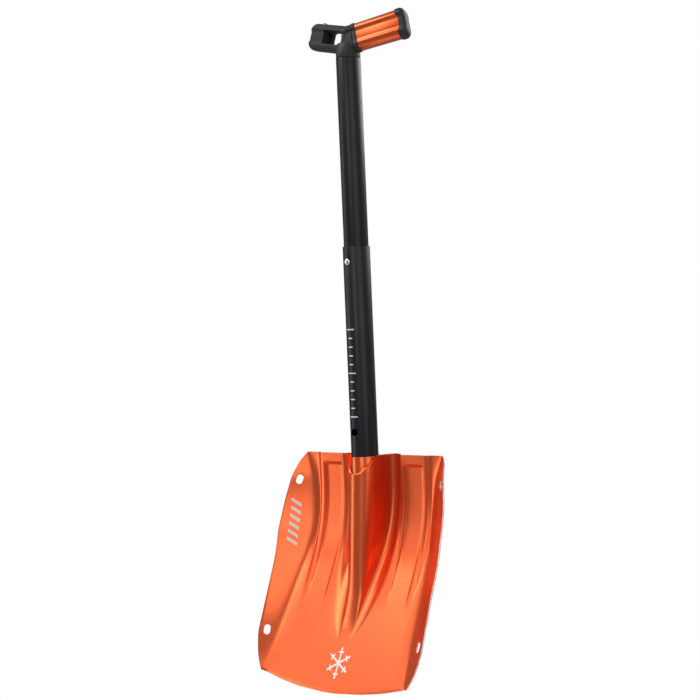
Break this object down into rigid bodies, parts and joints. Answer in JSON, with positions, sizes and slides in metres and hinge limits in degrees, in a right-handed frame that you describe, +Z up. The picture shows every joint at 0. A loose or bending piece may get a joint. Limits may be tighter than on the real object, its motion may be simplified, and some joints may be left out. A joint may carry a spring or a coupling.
{
  "type": "avalanche shovel",
  "caption": "Telescoping avalanche shovel: a ribbed pressed scoop blade with side wings on an oval two-piece shaft with a swept T-grip.",
  "frame": {"origin": "middle of the grip's hub, on the shaft axis, where a hand holds the shovel", "axes": "+Z up the shaft towards the grip, +X to the right, +Y to the back of the blade (the snow side faces -Y)"},
  "size_m": [0.2362, 0.1188, 0.7646],
  "materials": {
    "orange_anodised": "satin orange anodised",
    "black_anodised": "satin black anodised",
    "black_plastic": "fine moulded texture",
    "bright_steel": "polished",
    "spring_steel": "bright drawn"
  },
  "bodies": {
    "handle": {"grip_body": "black_plastic", "neck_screw": "spring_steel", "grip_collar": "black_plastic", "grip_sleeve": "orange_anodised", "grip_end_cap": "black_plastic", "grip_button_spring": "spring_steel", "upper_shaft": "black_anodised", "guide_bush": "black_plastic", "shaft_button_spring": "spring_steel"},
    "grip_button": {"grip_button": "bright_steel"},
    "shaft_button": {"shaft_button": "bright_steel"},
    "lower_tube": {"lower_shaft": "black_anodised", "lower_end_plug": "black_plastic", "blade_button_spring": "spring_steel"},
    "blade_button": {"blade_button": "bright_steel"},
    "scoop": {"blade": "orange_anodised", "socket_sleeve": "orange_anodised", "socket_back": "orange_anodised", "rivet_left_upper": "orange_anodised", "rivet_left_lower": "orange_anodised", "rivet_right_upper": "orange_anodised", "rivet_right_lower": "orange_anodised"}
  },
  "joints": [
    {"name": "shaft_telescope", "type": "slide", "parent": "handle", "child": "lower_tube", "axis": [0, 0, 1], "range_m": [0, 0.1952], "deforming": ["shaft_button", "shaft_button_spring"]},
    {"name": "blade_release", "type": "slide", "parent": "lower_tube", "child": "scoop", "axis": [0, 0, -1], "range_m": [0, 0.08], "deforming": ["blade_button", "blade_button_spring"]},
    {"name": "shaft_button_press", "type": "slide", "parent": "handle", "child": "shaft_button", "axis": [0, 1, 0], "range_m": [0, 0.0035], "stiffness_N_per_m": 900, "springref_m": -0.002},
    {"name": "blade_button_press", "type": "slide", "parent": "lower_tube", "child": "blade_button", "axis": [0, -1, 0], "range_m": [0, 0.0065], "stiffness_N_per_m": 900, "springref_m": -0.002},
    {"name": "grip_button_press", "type": "slide", "parent": "handle", "child": "grip_button", "axis": [-0.2422, -0.1003, -0.965], "range_m": [0, 0.003], "stiffness_N_per_m": 900, "springref_m": -0.002, "deforming": ["grip_button_spring"]}
  ]
}
